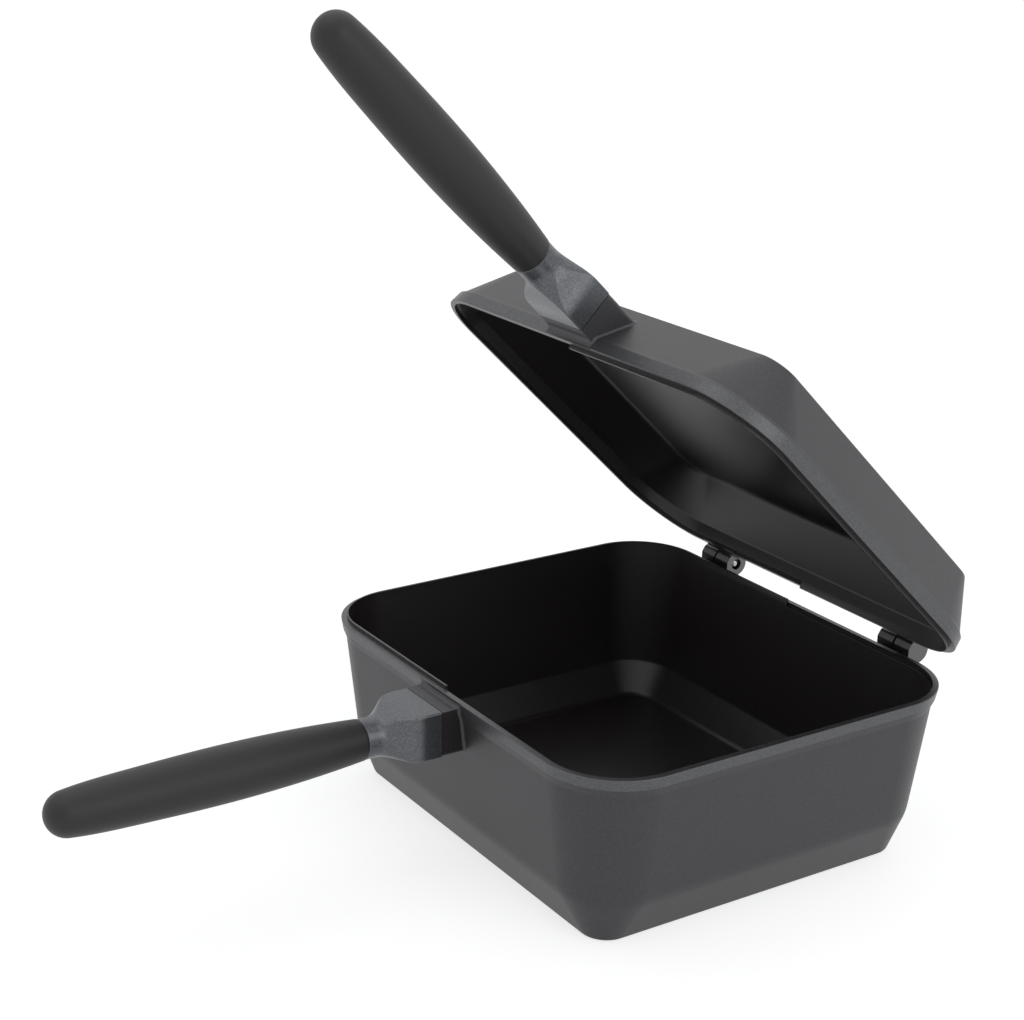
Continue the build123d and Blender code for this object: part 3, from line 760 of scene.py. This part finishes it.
def grip(length, place):
    """The round grip, from its seat on the collar to its domed tip."""
    tip_centre = length - GRIP_TIP_RADIUS
    join_radius = GRIP_TIP_RADIUS * math.cos(GRIP_TAPER)
    join_at = tip_centre + GRIP_TIP_RADIUS * math.sin(GRIP_TAPER)
    knots = [*GRIP_KNOTS, (join_radius, join_at, -math.tan(GRIP_TAPER))]
    points = [(0.0, 0.0), (10.95 * MM, 0.0), (11.3 * MM, 0.15 * MM)]
    for (r0, z0, s0), (r1, z1, s1) in zip(knots, knots[1:]):
        third = (z1 - z0) / 3
        stations = [(r0, z0), (r0 + s0 * third, z0 + third), (r1 - s1 * third, z1 - third), (r1, z1)]
        curve = interpolate_bezier(*[Vector((*station, 0)) for station in stations], 14)
        points += [tuple(point.to_2d()) for point in curve[:-1]]
    steps = 18
    for step in range(steps):
        turn = GRIP_TAPER + (math.pi / 2 - GRIP_TAPER) * step / steps
        points.append((GRIP_TIP_RADIUS * math.cos(turn), tip_centre + GRIP_TIP_RADIUS * math.sin(turn)))
    points.append((0.0, length))
    return turned(points, place)


def make_handle(body, low, high, axis_z, tilt, length):
    """A body's neck from low to high and its grip, whose axis starts at axis_z and is tilted."""
    piece = new_piece(body + "_neck", neck(low, high, axis_z, tilt), NECK_METAL, body)
    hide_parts(body + "_ferrule")
    seat = Matrix.Translation((0, BOSS_FACE - NECK_LENGTH, axis_z))
    seat @= Matrix.Rotation(math.pi / 2 - tilt, 4, "X")
    piece = new_piece(body + "_handle_grip", grip(length, seat), GRIP_SKIN, body)
    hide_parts(body + "_grip")


def make_handles():
    """Both handles, from their places on the rims."""
    low, high = BASE_RIM - BASE_BOSS_BOTTOM, BASE_RIM - BASE_BOSS_TOP
    make_handle("base", low, high, BASE_RIM - BASE_GRIP_DROP, BASE_GRIP_TILT, BASE_GRIP_LENGTH)
    low, high = LID_RIM + LID_BOSS_BOTTOM, LID_RIM + LID_BOSS_TOP
    make_handle("lid", low, high, LID_RIM + LID_GRIP_RISE, LID_GRIP_TILT, LID_GRIP_LENGTH)


# Hinge


def at_hinge(points):
    """An outline given about the hinge axis, in place. Distances in millimetres."""
    return [
        (HINGE_AT.y + y * MM, HINGE_AT.z + z * MM, *(radius * MM for radius in rounding))
        for y, z, *rounding in points
    ]


def knuckle(start, end):
    """A hinge knuckle: round at the back, flat and bevelled at the front."""
    r = KNUCKLE_RADIUS / MM
    almost = r - 0.02
    outline = [
        (0, -r),
        (-r, -r * math.tan(math.radians(30)), 1.2),
        (-r, 2.4, 1.0),
        (-5.3, 5.9, 1.0),
        (0, r),
        (r, r, almost),
        (r, -r, almost),
    ]
    bm = prism(at_hinge(outline), start, end)
    soften(bm, 0.7 * MM, steps=2, from_angle=50)
    return bm


def base_hinge(start, end):
    """A base knuckle on its gusset."""
    root = BASE_LUG_ROOT
    r = KNUCKLE_RADIUS / MM
    outline = [(root, -3.6), (0, -3.6), (r / 2, -r * 0.866), (root, -20)]
    gusset = prism(at_hinge(outline), start + LUG_INSET, end - LUG_INSET)
    soften(gusset, 0.4 * MM, steps=2)
    return [knuckle(start, end), gusset]


def lid_hinge(start, end):
    """A lid knuckle, the web and heel behind it and the pad that carries them."""
    root, floor = LID_LUG_ROOT, 1.3
    r = KNUCKLE_RADIUS / MM
    pad = [
        (root, floor),
        (-8.7, floor, 0.8),
        (-8.7, floor + 3.8, 1.5),
        (-13.3, floor + 7.6),
        (root, floor + 7.6),
    ]
    web = [(root, floor), (0, floor), (0, r - 0.1), (root, r - 0.1)]
    heel = [(0, -r + 0.1), (-12.2, -3.0, 0.6), (-12.2, 1.0, 0.6), (0, r / 2)]
    middle = (start + end) / 2
    pad_form = prism(at_hinge(pad), middle - LID_PAD_HALF, middle + LID_PAD_HALF)
    soften(pad_form, 0.6 * MM, steps=2)
    web_form = prism(at_hinge(web), start + LUG_INSET, end - LUG_INSET)
    heel_form = prism(at_hinge(heel), start + 2 * LUG_INSET, end - 2 * LUG_INSET)
    bmesh.ops.transform(heel_form, matrix=opening(-STOP_OPEN), verts=heel_form.verts)
    round_form = knuckle(start, end)
    bmesh.ops.transform(round_form, matrix=opening(REST_OPEN).inverted(), verts=round_form.verts)
    return [pad_form, round_form, web_form, heel_form]


def bored(forms, radius, start, end):
    """Forms with a round hole along the hinge axis through each of them."""
    return [cut(form, rod(radius, start, end, HINGE_AT.y, HINGE_AT.z)) for form in forms]


def ends_painted_lit(bm):
    """The same form with its faces across the hinge axis in a lighter metal, as painted light for the end
    faces that catch the light from the right.
    """
    for face in bm.faces:
        if abs(face.normal.x) > 0.99:
            face.material_index = 1
    return bm


def hinge_pin(domed, flat):
    """A pin from its domed end to its flat end."""
    length = abs(flat - domed)
    ball = (PIN_RADIUS**2 + PIN_DOME**2) / (2 * PIN_DOME)
    steps = 8
    points = [(0.0, 0.0), (PIN_RADIUS, 0.0)]
    for step in range(steps):
        turn = math.asin(PIN_RADIUS / ball) * (1 - step / steps)
        points.append((ball * math.sin(turn), length - ball * (1 - math.cos(turn))))
    points.append((0.0, length))
    way = 1 if domed > flat else -1
    place = Matrix.Translation((flat, HINGE_AT.y, HINGE_AT.z)) @ Matrix.Rotation(way * math.pi / 2, 4, "Y")
    return turned(points, place, 48)


def make_hinges():
    """Each hinge's knuckles and pin. The left pin shows in the lid's knuckle, the right one in the base's."""
    bore = PIN_RADIUS + PIN_RUNNING
    for side, start in HINGE_STARTS.items():
        end = start + KNUCKLE_WIDTH
        lid_start = end + KNUCKLE_GAP
        lid_end = lid_start + KNUCKLE_WIDTH
        pad, *lid_parts = lid_hinge(lid_start, lid_end)
        base_parts = base_hinge(start, end)
        if side == "left":
            lid_parts = bored(lid_parts, PIN_MOUTH, lid_end - PIN_MOUTH_DEPTH, lid_end + MM)
            lid_parts = bored(lid_parts, bore, lid_start - MM, lid_end)
            pin = hinge_pin(lid_end - PIN_SUNK, start + PIN_WALL)
        else:
            lid_parts = bored(lid_parts, bore, lid_start - MM, lid_end - PIN_WALL)
            base_parts = bored(base_parts, PIN_RADIUS, start - MM, start + 4 * MM)
            pin = hinge_pin(start + PIN_SUNK, lid_end - PIN_WALL - 0.3 * MM)
        form = ends_painted_lit(joined(base_parts))
        new_piece(side + "_base_knuckle", form, HINGE_COAT, "base", [PAINTED_LIT_END_METAL])
        form = ends_painted_lit(joined([pad, *lid_parts]))
        new_piece(side + "_lid_knuckle", form, HINGE_COAT, "lid", [PAINTED_LIT_END_METAL])
        piece = new_piece(side + "_pin", pin, PIN_STEEL, "base")
        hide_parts(side + "_hinge_pin")


def finish_inner_nodes():
    """Finishes for the CAD nodes that stay: the fixings inside each handle."""
    finishes = {
        "pin": PIN_STEEL,
        "stud": PIN_STEEL,
        "washer": PIN_STEEL,
        "nut": PIN_STEEL,
        "insert": INSERT_BRASS,
        "core": CORE_PLASTIC,
    }
    for name, node in frame["nodes"].items():
        finish = finishes.get(name.rsplit("_", 1)[1], OUTSIDE_COAT)
        for slot in node.material_slots:
            slot.material = finish


# The studio


def seen_white(tree, plain, white):
    """Mixes a plain shader with a white one that the camera, reflections and clear parts see."""
    path = tree.nodes.new("ShaderNodeLightPath")
    seen = math_node(tree, "MAXIMUM", path.outputs["Is Camera Ray"], path.outputs["Is Glossy Ray"])
    seen = math_node(tree, "MAXIMUM", seen, path.outputs["Is Transmission Ray"])
    mix = tree.nodes.new("ShaderNodeMixShader")
    tree.links.new(seen, mix.inputs["Fac"])
    tree.links.new(plain, mix.inputs[1])
    tree.links.new(white, mix.inputs[2])
    return mix.outputs["Shader"]


def make_world():
    """An even, slightly cool surrounding that is seen as white."""
    world = bpy.data.worlds.new("studio")
    world.use_nodes = True
    tree = world.node_tree
    plain = tree.nodes["Background"]
    plain.inputs["Color"].default_value = (0.95, 0.97, 1.0, 1)
    plain.inputs["Strength"].default_value = 0.4
    white = tree.nodes.new("ShaderNodeBackground")
    white.inputs["Color"].default_value = (1, 1, 1, 1)
    white.inputs["Strength"].default_value = 1.0
    shader = seen_white(tree, plain.outputs["Background"], white.outputs["Background"])
    tree.links.new(shader, tree.nodes["World Output"].inputs["Surface"])
    bpy.context.scene.world = world


def make_floor():
    """A pale floor that keeps the pan's shadow and is white elsewhere."""
    bm = bmesh.new()
    bmesh.ops.create_grid(bm, x_segments=1, y_segments=1, size=8.0)
    bmesh.ops.translate(bm, vec=(0, 0, -0.2 * MM), verts=bm.verts)
    mesh = bpy.data.meshes.new("floor")
    bm.to_mesh(mesh)
    bm.free()
    floor = bpy.data.objects.new("floor", mesh)
    bpy.context.scene.collection.objects.link(floor)
    material = bpy.data.materials.new("pale floor")
    material.use_nodes = True
    tree = material.node_tree
    shader = tree.nodes["Principled BSDF"]
    shader.inputs["Base Color"].default_value = (0.6, 0.6, 0.6, 1)
    shader.inputs["Roughness"].default_value = 0.9
    shader.inputs["Specular IOR Level"].default_value = 0.0
    lift = tree.nodes.new("ShaderNodeEmission")
    lift.inputs["Strength"].default_value = 0.72
    both = tree.nodes.new("ShaderNodeAddShader")
    tree.links.new(shader.outputs["BSDF"], both.inputs[0])
    tree.links.new(lift.outputs["Emission"], both.inputs[1])
    surface = seen_white(tree, shader.outputs["BSDF"], both.outputs["Shader"])
    tree.links.new(surface, tree.nodes["Material Output"].inputs["Surface"])
    mesh.materials.append(material)


def lamp(name, kind, place, target, strength):
    """A lamp of a kind that shines from a place at a target."""
    light = bpy.data.lights.new(name, kind)
    light.energy = strength
    thing = bpy.data.objects.new(name, light)
    bpy.context.scene.collection.objects.link(thing)
    thing.location = place
    thing.rotation_euler = (Vector(target) - Vector(place)).to_track_quat("-Z", "Y").to_euler()
    return light


def make_lights():
    """A broad even light from above and two large soft panels."""
    above = lamp("above", "SUN", (-0.5, 0.7, 2.2), (0, 0, 0), 0.4)
    above.angle = math.radians(75)
    for name, place, size, strength in (
        ("side panel", (2.2, 0.4, 1.2), 1.6, 9),
        ("high front panel", (-0.3, -1.0, 2.4), 1.6, 3.5),
    ):
        panel = lamp(name, "AREA", place, (0, 0, 0.15), strength)
        panel.size = size


def make_camera():
    """A long lens that looks down on the pan from the front right."""
    data = bpy.data.cameras.new("camera")
    data.sensor_width = 36.0
    data.sensor_fit = "HORIZONTAL"
    data.lens = CAMERA_LENS
    data.shift_x, data.shift_y = CAMERA_SHIFT
    data.clip_start = 0.05
    camera = bpy.data.objects.new("camera", data)
    bpy.context.scene.collection.objects.link(camera)
    sin, cos = math.sin, math.cos
    level = cos(CAMERA_ABOVE)
    back = Vector((sin(CAMERA_AROUND) * level, -cos(CAMERA_AROUND) * level, sin(CAMERA_ABOVE)))
    right = Vector((cos(CAMERA_AROUND), sin(CAMERA_AROUND), 0))
    up = back.cross(right)
    right, up = (
        cos(CAMERA_ROLL) * right + sin(CAMERA_ROLL) * up,
        cos(CAMERA_ROLL) * up - sin(CAMERA_ROLL) * right,
    )
    turn = Matrix((right, up, back)).transposed().to_4x4()
    camera.matrix_world = Matrix.Translation(CAMERA_AT) @ turn
    bpy.context.scene.camera = camera


make_castings()
make_handles()
make_hinges()
finish_inner_nodes()
make_world()
make_floor()
make_lights()
make_camera()
bpy.context.scene.view_settings.view_transform = "Standard"
